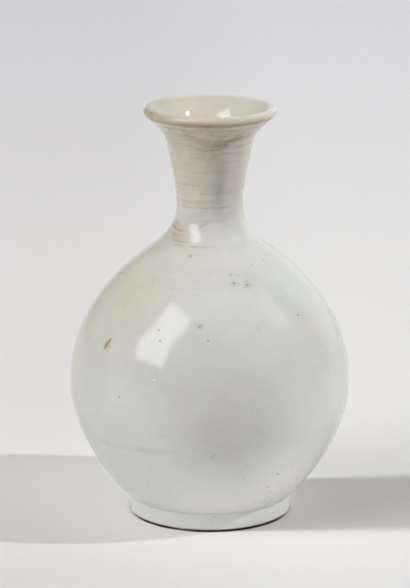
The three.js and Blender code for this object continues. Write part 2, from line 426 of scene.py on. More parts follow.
def latheTree(reliefGroup):
    tree, given, result = newTree(
        "pottersLathe",
        (("Outline", "Geometry"), ("Turns", "Int", 96), ("Wobble", "Float", 0.0),
         ("Wobble scale", "Float", 22.0), ("Throwing rings", "Float", 0.0), ("Seed", "Float", 3.0),
         ("Material", "Material")),
        ("Piece", "Geometry"))
    count = node(tree, "GeometryNodeAttributeDomainSize", {0: given["Outline"]}).outputs["Point Count"]
    columns = calc(tree, "ADD", given["Turns"], 1.0)
    grid = node(tree, "GeometryNodeMeshGrid", {"Vertices X": count, "Vertices Y": columns}).outputs["Mesh"]
    index = node(tree, "GeometryNodeInputIndex").outputs[0]
    row = calc(tree, "FLOOR", calc(tree, "DIVIDE", calc(tree, "ADD", index, 0.5), columns))
    column = calc(tree, "SUBTRACT", index, times(tree, row, columns))
    angle = times(tree, calc(tree, "DIVIDE", column, given["Turns"]), 2 * pi)

    def turnedRound(field):  # the outline's vector for this row, turned to this column
        inputs = {"Geometry": given["Outline"], "Value": field, "Index": row}
        vector = node(tree, "GeometryNodeSampleIndex", inputs, data_type="FLOAT_VECTOR").outputs[0]
        inputs = {"Vector": vector, "Angle": angle}
        return node(tree, "ShaderNodeVectorRotate", inputs, rotation_type="Z_AXIS").outputs[0]

    lean = node(tree, "GeometryNodeInputNamedAttribute", {"Name": "lean"}, data_type="FLOAT_VECTOR")
    place = turnedRound(node(tree, "GeometryNodeInputPosition").outputs[0])
    push = turnedRound(lean.outputs[0])
    inputs = {name: given[name] for name in ("Wobble", "Wobble scale", "Throwing rings", "Seed")}
    relief = node(tree, "GeometryNodeGroup", dict(inputs, Point=place), node_tree=reliefGroup)
    target = vectorCalc(tree, "ADD", place, scaled(tree, push, relief.outputs[0]))
    inputs = {"Geometry": grid, "Name": "shown", "Value": vectorCalc(tree, "LENGTH", push, out=1)}
    flagged = node(tree, "GeometryNodeStoreNamedAttribute", inputs, data_type="FLOAT", domain="POINT")
    piece = through(
        tree, flagged.outputs[0], ("SetPosition", {"Position": target}),
        ("MergeByDistance", {"Distance": weldWithin}), ("FlipFaces", {}), ("SetShadeSmooth", {}),
        ("RealizeInstances", {}), ("SetMaterial", {"Material": given["Material"]}))
    tree.links.new(piece, result)
    return tree


def newObject(name, data):
    made = bpy.data.objects.new(name, data)
    bpy.context.scene.collection.objects.link(made)
    return made


def shaped(piece, group, settings, material):  # what the tree makes of the piece, as a plain mesh
    modifier = piece.modifiers.new(group.name, "NODES")
    modifier.node_group = group
    values = dict(settings, Material=material)
    for item in group.interface.items_tree:
        if item.item_type == "SOCKET" and item.in_out == "INPUT" and item.name in values:
            modifier[item.identifier] = values[item.name]
    bpy.context.view_layer.update()
    graph = bpy.context.evaluated_depsgraph_get()
    mesh = bpy.data.meshes.new_from_object(
        piece.evaluated_get(graph), preserve_all_data_layers=True, depsgraph=graph)
    piece.modifiers.remove(modifier)
    piece.data = mesh
    mesh.name = piece.name
    mesh.materials.clear()
    mesh.materials.append(material)
    if "sharp" in settings:
        mesh.set_sharp_from_angle(angle=radians(settings["sharp"]))
    return piece


def turnPiece(name, outline, material, settings, leans=None):  # a closed loop, or from the axis to the axis
    mesh = bpy.data.meshes.new(name)
    mesh.from_pydata([(p.x, 0.0, p.y) for p in outline], [], [])
    lean = mesh.attributes.new("lean", "FLOAT_VECTOR", "POINT")
    for i, way in enumerate(leans or [spot(0, 0)] * len(outline)):
        lean.data[i].vector = (way.x, 0.0, way.y)
    return shaped(newObject(name, mesh), lathe, settings, material)


def hand(piece, nodeName):  # to the frame, as a piece that stands still
    if nodeName:
        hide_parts(nodeName)
    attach(piece, "root")
    print(piece.name, "stands for", nodeName, "with", len(piece.data.polygons), "faces")


lathe = latheTree(reliefTree())
print("lathe and relief ready")


# Materials

def newMaterial(name):
    material = bpy.data.materials.new(name)
    material.use_nodes = True
    tree = material.node_tree
    shader = tree.nodes["Principled BSDF"]
    point = node(tree, "ShaderNodeTexCoord").outputs["Object"]
    return material, tree, shader, point


def mixed(tree, factor, first, second, mode="MIX"):
    made = node(tree, "ShaderNodeMix", {0: factor, 6: first, 7: second}, data_type="RGBA", blend_type=mode)
    return made.outputs[2]


def tinted(tree, colour, tint, *strengths):  # the strengths are multiplied
    return mixed(tree, times(tree, *strengths), colour, tint)


def paint(red, green, blue):
    return (red, green, blue, 1.0)


stainEdge = {"ragged": 0.7, "least": 0.65}  # of a stain's reach; the noise moves its edge in and out


def near(tree, point, centre, reach, ragged):  # 1 at a centre, and 0 from its edge on
    away = vectorCalc(tree, "DISTANCE", point, centre, out=1)
    edge = calc(tree, "MULTIPLY_ADD", ragged, reach * stainEdge["ragged"], reach * stainEdge["least"])
    return fade(tree, away, edge, 0.0)


def bumped(tree, strength, distance, height):
    inputs = {"Strength": strength, "Distance": distance, "Height": height}
    return node(tree, "ShaderNodeBump", inputs).outputs[0]


glazeLook = {
    "pale": paint(0.785, 0.792, 0.750), "grey": paint(0.765, 0.765, 0.725),
    "green": paint(0.735, 0.765, 0.710), "cloudScale": 17.0, "greyFrom": (0.35, 0.68),
    "greenScale": 11.9, "greenFrom": (0.42, 0.72), "greenShare": 0.7,
    "mottleScale": 75.0, "mottle": 0.15, "roughFrom": (0.3, 0.7), "roughness": (0.10, 0.15),
    "peel": 0.02, "peelDeep": 0.4 * mm, "peelScale": 650.0,
    "wipes": (75, 75, 760), "wiped": 0.10, "grainScale": 620.0, "grained": 0.12,
    "pitScale": 190.0, "pitSize": (0.12, 0.04), "pitsWhere": (0.44, 0.62), "pitted": 0.16, "ior": 1.5,
}
innerPaintedShading = (  # painted shade towards the left, darker and warmer, and painted light towards the right, paler
    {"from": -10 * mm, "to": -38 * mm, "shade": paint(0.77, 0.74, 0.71)},
    {"from": 12 * mm, "to": 30 * mm, "shade": paint(1.05, 1.06, 1.06)},
)
innerLook = dict(glazeLook, pale=paint(0.82, 0.775, 0.645), grey=paint(0.80, 0.725, 0.63),
                 green=paint(0.690, 0.750, 0.630), cloudScale=55.0, greenScale=38.5,
                 roughness=(0.07, 0.11), paintedShading=innerPaintedShading)
stainsAndPaintedShading = table(  # reach in millimetres
    "azimuth height reach colour strength",
    (-62, 136, 66, (0.80, 0.79, 0.655), 1.0),
    (-82, 100, 48, (0.72, 0.72, 0.62), 0.80),
    (-38, 150, 15, (0.80, 0.745, 0.65), 0.6),
    (-52, 141, 19, (0.81, 0.79, 0.60), 0.7),
    (-66, 126, 16, (0.80, 0.76, 0.65), 0.5),
    (-78, 70, 38, (0.68, 0.68, 0.635), 0.85),
    # paler high in front: painted light, not a stain
    (6, 133, 34, (0.85, 0.85, 0.81), 0.6),
    (0, 108, 46, (0.70, 0.70, 0.665), 0.60),
    (84, 106, 58, (0.70, 0.70, 0.665), 0.80),
    (68, 42, 26, (0.68, 0.68, 0.65), 0.75),
    (-58, 92, 32, (0.69, 0.69, 0.645), 0.70),
    (-20, 160, 30, (0.80, 0.76, 0.66), 0.7),
    (18, 157, 22, (0.80, 0.78, 0.73), 0.6),
    (-60, 164, 20, (0.74, 0.68, 0.58), 0.6),
    (56, 121, 16, (0.77, 0.73, 0.60), 0.6),
    # darker in the middle front: painted shade, not a stain
    (12, 75, 56, (0.60, 0.59, 0.56), 0.74),
    # these two, paler low in front and to the right: painted light from the floor, not stains
    (2, 22, 38, (0.82, 0.81, 0.77), 0.8),
    (38, 27, 44, (0.88, 0.88, 0.85), 0.9),
    (-42, 54, 50, (0.71, 0.725, 0.685), 0.7),
    (160, 120, 54, (0.76, 0.73, 0.62), 0.5),
    (-150, 60, 50, (0.73, 0.76, 0.68), 0.5),
    # rusty bleeding round the larger specks
    (-51.2, 111.3, 4.6, (0.56, 0.38, 0.13), 0.6),
    (25.3, 145.9, 4.4, (0.64, 0.58, 0.34), 0.6),
    (-4.9, 127.2, 3.4, (0.58, 0.55, 0.38), 0.6),
    (16.4, 147.1, 3.0, (0.56, 0.53, 0.40), 0.5),
    (23.7, 125.0, 3.0, (0.58, 0.60, 0.56), 0.4),
    (-21.0, 159.0, 3.0, (0.56, 0.52, 0.40), 0.5),
    (152.0, 88.2, 4.2, (0.58, 0.44, 0.22), 0.5),
    (-150.0, 110.0, 3.2, (0.58, 0.54, 0.40), 0.5),
)
patchLook = {"scale": (110, 110, 330), "spread": (0.36, 0.62), "least": 0.25}  # breaks up marks and smudges
inks = {
    "pool": paint(0.45, 0.46, 0.38), "brown": paint(0.16, 0.12, 0.06), "olive": paint(0.22, 0.21, 0.15),
    "ochre": paint(0.48, 0.34, 0.14), "moss": paint(0.46, 0.43, 0.25), "sienna": paint(0.26, 0.17, 0.07),
}
neckLook = {
    "from": 0.166, "to": 0.194, "left": paint(0.650, 0.610, 0.495), "right": paint(0.636, 0.598, 0.524),
    "across": (-12 * mm, 14 * mm), "dark": paint(0.42, 0.375, 0.300), "light": paint(0.76, 0.74, 0.67),
    "patches": (45, 45, 60), "patchFrom": (0.4, 0.75), "patchShare": 0.5, "patchRise": 30 * mm,
    "streaks": (14, 14, 520), "tilt": 4.0, "darkFrom": (0.50, 0.78), "darkShare": 0.36,
    "lightFrom": (0.46, 0.26), "lightShare": 0.30,
    "fine": (30, 30, 1300), "fineDark": (0.52, 0.70), "fineLight": (0.46, 0.30), "fineShare": 0.14,
}
edgeLook = {  # each pair is where the colour begins and where it is full
    "lipFace": paint(0.66, 0.55, 0.405), "lipFaceFrom": (lipTop - 1.2 * mm, lipTop - 3.6 * mm),
    "outerSide": (lipCentre.x - 2.2 * mm, lipCentre.x - 0.8 * mm),
    "lipFrom": (lipTop - 5.0 * mm, lipTop - 4.2 * mm),
    "brownAndShadeUnderLip": paint(0.39, 0.29, 0.185), "underLipAt": lipTop - 4.8 * mm,
    "underLipEdge": (1.7 * mm, 0.2 * mm), "unevenScale": 90.0, "uneven": (0.25, 0.60, 0.4, 0.9),
    "crease": paint(0.56, 0.58, 0.54), "creaseAt": side.creaseHeight + 0.2 * mm,
    "creaseEdge": (1.1 * mm, 0.0), "creaseShare": 0.60,
    "foot": paint(0.81, 0.82, 0.79),
    "footFrom": (side.creaseHeight + 0.2 * mm, side.creaseHeight - 1.2 * mm),
    "rim": paint(0.34, 0.20, 0.09), "rimFrom": (side.bareRim + 0.8 * mm, side.bareRim - 0.2 * mm),
    "front": (-10 * mm, -32 * mm), "atSides": 0.25,
}


def clouded(tree, point, look):  # the glaze's three tints in clouds, and the two noises that spread them
    cloud = noiseAt(tree, point, look["cloudScale"], 3.0, 0.55, seed=1.7)
    tint = noiseAt(tree, point, look["greenScale"], 2.0, 0.5, seed=5.3)
    colour = tinted(tree, look["pale"], look["grey"], fade(tree, cloud, *look["greyFrom"]))
    greener = fade(tree, tint, *look["greenFrom"])
    colour = tinted(tree, colour, look["green"], greener, look["greenShare"])
    across = axes(tree, point)[0]
    # painted shade and painted light across the inside
    for paintedTone in look.get("paintedShading", ()):
        share = fade(tree, across, paintedTone["from"], paintedTone["to"])
        colour = mixed(tree, share, colour, paintedTone["shade"], "MULTIPLY")
    return colour, cloud, tint


def outerColours(tree, point, cloud, colour):  # the stains, some of them painted light and shade, then neck, lip and foot, then the marks
    turned, height = turnAndHeight(tree, point)
    for stain in stainsAndPaintedShading:
        where = near(tree, point, onPot(stain["azimuth"], stain["height"]), stain["reach"] * mm, cloud)
        colour = tinted(tree, colour, paint(*stain["colour"]), where, stain["strength"])
    colour = edgeColours(tree, point, neckColours(tree, point, height, colour))
    broken = noiseAt(tree, point, patchLook["scale"], 3.0, 0.6, seed=7.7)
    patchy = fade(tree, broken, *patchLook["spread"], patchLook["least"])
    for mark in marks:
        if mark["stain"]:
            strength = markStrength(tree, turned, height, mark)
            colour = tinted(tree, colour, inks[mark["ink"]], strength, mark["stain"], patchy)
    for smudge in smudgesAndPaintedShade:
        strengths = [smudgeStrength(tree, turned, height, smudge), smudge["strength"]]
        if "even" not in smudge:
            strengths.append(patchy)
        colour = tinted(tree, colour, inks[smudge["ink"]], *strengths)
    return colour


def glazeMaterial(name, look, outer=True):
    material, tree, shader, point = newMaterial(name)
    colour, cloud, tint = clouded(tree, point, look)
    if outer:
        colour = outerColours(tree, point, cloud, colour)
    mottle = noiseAt(tree, point, look["mottleScale"], 4.0, 0.65, seed=8.1)
    wipe = noiseAt(tree, point, look["wipes"], 3.0, 0.6, seed=2.9)
    grain = noiseAt(tree, point, look["grainScale"], 3.0, 0.7, seed=6.3)
    pit = node(tree, "ShaderNodeTexVoronoi", {"Vector": point, "Scale": look["pitScale"]}).outputs["Distance"]
    pits = times(tree, fade(tree, pit, *look["pitSize"]), fade(tree, tint, *look["pitsWhere"]))
    shade = calc(tree, "MULTIPLY_ADD", pits, -look["pitted"], 1.0)
    for noise, strength in ((mottle, look["mottle"]), (wipe, look["wiped"]), (grain, look["grained"])):
        shade = calc(tree, "MULTIPLY_ADD", calc(tree, "SUBTRACT", noise, 0.5), strength, shade)
    grey = node(tree, "ShaderNodeCombineColor", {0: shade, 1: shade, 2: shade}).outputs[0]
    roughness = fade(tree, mottle, *look["roughFrom"], *look["roughness"], "LINEAR")
    peel = noiseAt(tree, point, look["peelScale"], 2.0, 0.5, seed=2.2)
    feed(tree, shader, {
        "Base Color": mixed(tree, 1.0, colour, grey, "MULTIPLY"),
        "Roughness": roughness, "IOR": look["ior"],
        "Normal": bumped(tree, look["peel"], look["peelDeep"], peel),
    })
    return material


def neckColours(tree, point, height, colour):  # the stained neck, wiped round with a cloth
    look = neckLook
    tilted = node(tree, "ShaderNodeMapping", {"Vector": point, "Rotation": (0, radians(look["tilt"]), 0)})
    streak = noiseAt(tree, tilted.outputs[0], look["streaks"], 3.0, 0.62, seed=4.4)
    thin = noiseAt(tree, tilted.outputs[0], look["fine"], 2.0, 0.6, seed=1.2)
    patch = noiseAt(tree, point, look["patches"], 2.0, 0.5, seed=6.6)
    lines = tinted(tree, look["left"], look["right"], fade(tree, axes(tree, point)[0], *look["across"]))
    for noise, spread, share, tint in (
            (patch, "patchFrom", "patchShare", "light"), (streak, "darkFrom", "darkShare", "dark"),
            (streak, "lightFrom", "lightShare", "light"), (thin, "fineDark", "fineShare", "dark"),
            (thin, "fineLight", "fineShare", "light")):
        lines = tinted(tree, lines, look[tint], fade(tree, noise, *look[spread]), look[share])
    worn = calc(tree, "MULTIPLY_ADD", calc(tree, "SUBTRACT", patch, 0.5), look["patchRise"], height)
    return tinted(tree, colour, lines, fade(tree, worn, look["from"], look["to"]))


def inFront(tree, point):  # 1 in front, fading to a small share at the sides
    return fade(tree, axes(tree, point)[1], *edgeLook["front"], edgeLook["atSides"])


def edgeColours(tree, point, colour):  # the beige lip with a brown band under it, partly painted shade, the pooled crease, the pale foot and its burnt rim, darker in front as painted shade
    look, height = edgeLook, axes(tree, point)[2]
    outerSide = fade(tree, flatLength(tree, point), *look["outerSide"])
    lipFace = fade(tree, height, *look["lipFaceFrom"])
    lipColour = tinted(tree, clouded(tree, point, innerLook)[0], look["lipFace"], outerSide, lipFace)
    colour = tinted(tree, colour, lipColour, fade(tree, height, *look["lipFrom"]))
    offEdge = calc(tree, "ABSOLUTE", calc(tree, "SUBTRACT", height, look["underLipAt"]))
    uneven = fade(tree, noiseAt(tree, point, look["unevenScale"], 2.0, seed=3.8), *look["uneven"])
    # a brown band just under the lip, on its outer side: partly the lip's iron-brown edge, partly painted
    # shade under its overhang
    brownAndShadeUnderLip = fade(tree, offEdge, *look["underLipEdge"])
    colour = tinted(tree, colour, look["brownAndShadeUnderLip"], brownAndShadeUnderLip, outerSide, uneven)
    colour = tinted(tree, colour, look["foot"], fade(tree, height, *look["footFrom"]))
    offCrease = calc(tree, "ABSOLUTE", calc(tree, "SUBTRACT", height, look["creaseAt"]))
    pooled = fade(tree, offCrease, *look["creaseEdge"])
    colour = tinted(tree, colour, look["crease"], pooled, look["creaseShare"])
    # the glaze's burnt edge at the rim, full in front and a small share at the sides: partly its own colour,
    # partly painted shade of the contact line
    return tinted(tree, colour, look["rim"], fade(tree, height, *look["rimFrom"]), inFront(tree, point))


clayLook = {
    "bare": paint(0.70, 0.65, 0.56), "toasted": paint(0.50, 0.34, 0.20), "toastedFrom": (0.45, 0.75),
    "scale": 60.0, "grain": 900.0, "roughness": 0.85, "bump": 0.4, "deep": 0.3 * mm,
}
rimLook = {
    "burntAndShaded": paint(0.055, 0.030, 0.018), "ash": paint(0.16, 0.09, 0.05), "ashFrom": (0.4, 0.7),
    "from": (2.2 * mm, 1.32 * mm),
}
slipLook = {
    "pale": paint(0.58, 0.50, 0.38), "dark": paint(0.44, 0.34, 0.22), "darkFrom": (0.4, 0.7),
    "scale": 140.0, "roughness": 0.9, "bump": 0.5, "deep": 0.3 * mm,
}


def clayMaterial(name, burntAndShadedRim=False):
    material, tree, shader, point = newMaterial(name)
    look = clayLook
    cloud = noiseAt(tree, point, look["scale"], 4.0, 0.6, seed=3.1)
    grain = noiseAt(tree, point, look["grain"], 3.0, 0.7, seed=9.2)
    colour = tinted(tree, look["bare"], look["toasted"], fade(tree, cloud, *look["toastedFrom"]))
    # the burnt rim, near black and full in front: partly the clay's own burnt colour, partly painted shade of
    # the contact line
    if burntAndShadedRim:
        burntAndShaded = tinted(tree, rimLook["burntAndShaded"], rimLook["ash"], fade(tree, grain, *rimLook["ashFrom"]))
        low = fade(tree, axes(tree, point)[2], *rimLook["from"])
        colour = tinted(tree, colour, burntAndShaded, low, inFront(tree, point))
    normal = bumped(tree, look["bump"], look["deep"], grain)
    feed(tree, shader, {"Base Color": colour, "Roughness": look["roughness"], "Normal": normal})
    return material


def slipMaterial(name):
    material, tree, shader, point = newMaterial(name)
    look = slipLook
    cloud = noiseAt(tree, point, look["scale"], 4.0, 0.6, seed=7.4)
    colour = tinted(tree, look["pale"], look["dark"], fade(tree, cloud, *look["darkFrom"]))
    normal = bumped(tree, look["bump"], look["deep"], cloud)
    feed(tree, shader, {"Base Color": colour, "Roughness": look["roughness"], "Normal": normal})
    return material


baseLook = dict(glazeLook, pale=paint(0.74, 0.73, 0.67), grey=paint(0.72, 0.69, 0.62))
outerMaterial = glazeMaterial("outerGlaze", glazeLook)
innerMaterial = glazeMaterial("innerGlaze", innerLook, outer=False)
baseMaterial = glazeMaterial("baseGlaze", baseLook, outer=False)
bareMaterial = clayMaterial("barePorcelain")
rimMaterial = clayMaterial("burntRimPorcelain", burntAndShadedRim=True)
joinMaterial = slipMaterial("joiningSlip")
print("materials ready")


# Clay pieces, from the foot up

clayTurns = {"Turns": 120, "sharp": 30, "coarse": 2, "neckCoarse": 3, "floorRows": 14}
neckClay = {"lipRows": 10, "overFrom": 0.1, "overTo": 0.9, "overRows": 8}


def jointFace(outer, inner, down):  # from outside to inside, with the V's point in the middle
    return [outer, outer.lerp(inner, 0.5) + down * side.tongueDepth, inner]


def wallFace(stretch, share):  # a joint across the bare wall
    place = station(stretch, share)
    outer, inner = outside([place], side.glazeCoat)[0], inside([place], -side.glazeCoat)[0]
    return jointFace(outer, inner, -place["along"])


def closed(outline):
    return outline + outline[:1]


down = spot(0, -1)
bowlUnderFace = jointFace(creaseClay, spot(ringBore, creaseClay.y), down)
ringTopFace = jointFace(ringShoulder, spot(ringBore, ringTop), down)
bellyLowerFace = wallFace(lowerBody, bellyShare)
bellyUpperFace = wallFace(lowerBody, bellyShareAbove)
neckLowerFace = wallFace(neckRoot, neckShare)
neckUpperFace = wallFace(neckRoot, neckShareAbove)


def footRing():
    outline = [spot(ringBore + side.rimBevel, 0), spot(rimClay.x - side.rimBevel, 0), rimClay]
    outline += ringTopFace + [spot(ringBore, side.bareRim)]
    hand(turnPiece("footRing", closed(outline), rimMaterial, clayTurns), "foot_ring")


def slipRing(name, lower, upper, nodeName):
    outline = lower[::-1] + upper
    hand(turnPiece(name, closed(outline), joinMaterial, clayTurns), nodeName)


def floorInside(depth):  # from the axis to the wall, at a height above the floor's clay
    meets = station(lowerBody, side.floorMeetsWall)
    end = inside([meets], -side.glazeCoat)[0]
    start = spot(0, creaseClay.y + side.baseThickness)
    path = (start, spot(side.floorPull, start.y), end - meets["along"] * side.floorCornerPull, end)
    points = []
    for i in range(clayTurns["floorRows"]):
        point, direction = follow(path, i / clayTurns["floorRows"])
        points.append(point + spot(-direction.y, direction.x) * depth)
    return points


def lowerBowl():
    foot = stations(lowerBody, 0.0, side.floorMeetsWall, clayTurns["coarse"])[1:-1]
    wall = stations(lowerBody, side.floorMeetsWall, bellyShare, clayTurns["coarse"])[:-1]
    outline = [spot(0, creaseClay.y)] + bowlUnderFace[::-1] + outside(foot + wall, side.glazeCoat)
    outline += bellyLowerFace + inside(wall, -side.glazeCoat)[::-1] + floorInside(0.0)[::-1]
    hand(turnPiece("lowerBowl", outline, bareMaterial, clayTurns), "lower_bowl")


def upperBowl():
    coarse = clayTurns["coarse"]
    wall = stations(lowerBody, bellyShareAbove, 1.0, coarse)[1:] + stations(upperBody, coarse=coarse)[1:]
    wall += stations(neckRoot, 0.0, neckShare, clayTurns["neckCoarse"])[1:-1]
    outline = bellyUpperFace[::-1] + outside(wall, side.glazeCoat) + neckLowerFace
    outline += inside(wall, -side.glazeCoat)[::-1]
    hand(turnPiece("upperBowl", closed(outline), bareMaterial, clayTurns), "upper_bowl")


def neckPiece():
    look, coat, coarse = neckClay, side.glazeCoat, clayTurns["neckCoarse"]
    wall = stations(neckRoot, neckShareAbove, 1.0, coarse)[1:] + stations(neckSide, coarse=coarse)[1:]
    outline = neckUpperFace[::-1] + outside(wall + stations(flare, coarse=coarse)[1:], coat)
    outline += lipRound(side.lipRounding - coat, look["lipRows"])
    outline += pointsOf(lipOver(look["overFrom"], look["overTo"], look["overRows"], coat))
    outline += inside(wall + stations(flare, 0.0, lipInnerShare, coarse)[1:], -coat)[::-1]
    hand(turnPiece("neck_", closed(outline), bareMaterial, clayTurns), "neck")


footRing()
slipRing("footSlip", ringTopFace, bowlUnderFace, "foot_slip")
lowerBowl()
slipRing("bellySlip", bellyLowerFace, bellyUpperFace, "belly_slip")
upperBowl()
slipRing("neckSlip", neckLowerFace, neckUpperFace, "neck_slip")
neckPiece()
print("clay and slip ready")


# Glaze coats

outerCoat = {
    "Turns": 240, "Wobble": 0.22 * mm, "Wobble scale": 24.0, "Throwing rings": 0.10 * mm, "Seed": 3.0,
    "sharp": 50, "filletStart": 1.5 * mm, "filletEnd": 1.9 * mm,
    "footRows": 7, "creaseRows": 6, "lipRows": 18, "overRows": 7,
    "backCoarse": 3.2, "backLipRows": 8, "backOverFrom": 0.05, "backOverRows": 4,  # against the clay
}
innerCoat = dict(outerCoat, Turns=160, coarse=2, overRows=10, backOverFrom=0.9, backOverRows=6)
baseCoat = {"corner": 2.0 * mm, "cornerRows": 6}  # the glaze rounds the corner under the base


def outerGlaze():
    look, coat, bond = outerCoat, side.glazeCoat, side.bond
    start = spot(side.footRadius, side.bareRim)
    footAlong = (crease - start).normalized()
    footOut = spot(footAlong.y, -footAlong.x)
    footEdge = crease - footAlong * look["filletStart"]
    filletShare = look["filletEnd"] / pathLength(lowerBody["path"])
    bowlEdge = station(lowerBody, filletShare)
    laid = []  # each point of the surface, with the way it leans
    for i in range(look["footRows"]):
        share = i / look["footRows"]
        laid.append((start.lerp(footEdge, share), footOut * share))
    for i in range(look["creaseRows"]):  # the glaze fills the crease
        share = i / look["creaseRows"]
        left = 1 - share
        point = footEdge * left**2 + crease * (2 * share * left) + bowlEdge["outside"] * share**2
        laid.append((point, footOut.lerp(-bowlEdge["in"], share).normalized()))
    laid += [(place["outside"], -place["in"]) for place in wholeWall(filletShare)]
    for point in lipRound(side.lipRounding, look["lipRows"]):
        laid.append((point, (point - lipCentre).normalized()))
    laid += lipOver(0.0, lipSplit, look["overRows"])[1:]
    backing = [spot(rimClay.x + bond, side.bareRim), creaseClay + spot(bond, 0)]
    backing += outside(wholeWall(filletShare, coarse=look["backCoarse"]), coat - bond)
    backing += lipRound(side.lipRounding - coat + bond, look["backLipRows"])
    backing += pointsOf(lipOver(look["backOverFrom"], lipSplit, look["backOverRows"], coat - bond))
    outline = pointsOf(laid) + backing[::-1]
    leans = [lean for point, lean in laid] + [spot(0, 0)] * len(backing)
    piece = turnPiece("outerCoat", closed(outline), outerMaterial, look, closed(leans))
    hand(piece, "outer_glaze")
    return piece


def innerGlaze():
    look, coat, bond = innerCoat, side.glazeCoat, side.bond
    wall = wholeWall(side.floorMeetsWall, coarse=look["coarse"], last=lipInnerShare)
    over = lipOver(1.0, lipSplit, look["overRows"])[1:]
    backOver = lipOver(look["backOverFrom"], lipSplit, look["backOverRows"], coat - bond)
    backing = floorInside(bond) + inside(wall, -coat + bond) + pointsOf(backOver)
    floor = floorInside(coat)
    surface = floor + inside(wall) + pointsOf(over)
    ways = [spot(0, 0)] * len(floor) + [place["in"] for place in wall] + [out for point, out in over]
    leans = [spot(0, 0)] * len(backing) + ways[::-1]
    piece = turnPiece("innerCoat", backing + surface[::-1], innerMaterial, look, leans)
    hand(piece, "inner_glaze")


def baseGlaze():
    bond, coat = side.bond, side.glazeCoat
    back = spot(ringBore - bond, creaseClay.y - bond)
    surface = spot(ringBore - coat, creaseClay.y - coat)
    outline = [spot(0, surface.y), spot(surface.x * 0.5, surface.y)]
    corner, rows = baseCoat["corner"], baseCoat["cornerRows"]
    middle = surface - spot(corner, corner)
    outline += [middle + heading(90 - 90 * i / rows) * corner for i in range(rows + 1)]
    outline += [spot(surface.x, side.bareRim), spot(back.x, side.bareRim), back, spot(0, back.y)]
    hand(turnPiece("baseCoat", outline, baseMaterial, clayTurns), "base_glaze")


outerPiece = outerGlaze()
innerGlaze()
baseGlaze()
print("glaze ready")


# Iron specks and pinholes, seated on the glaze

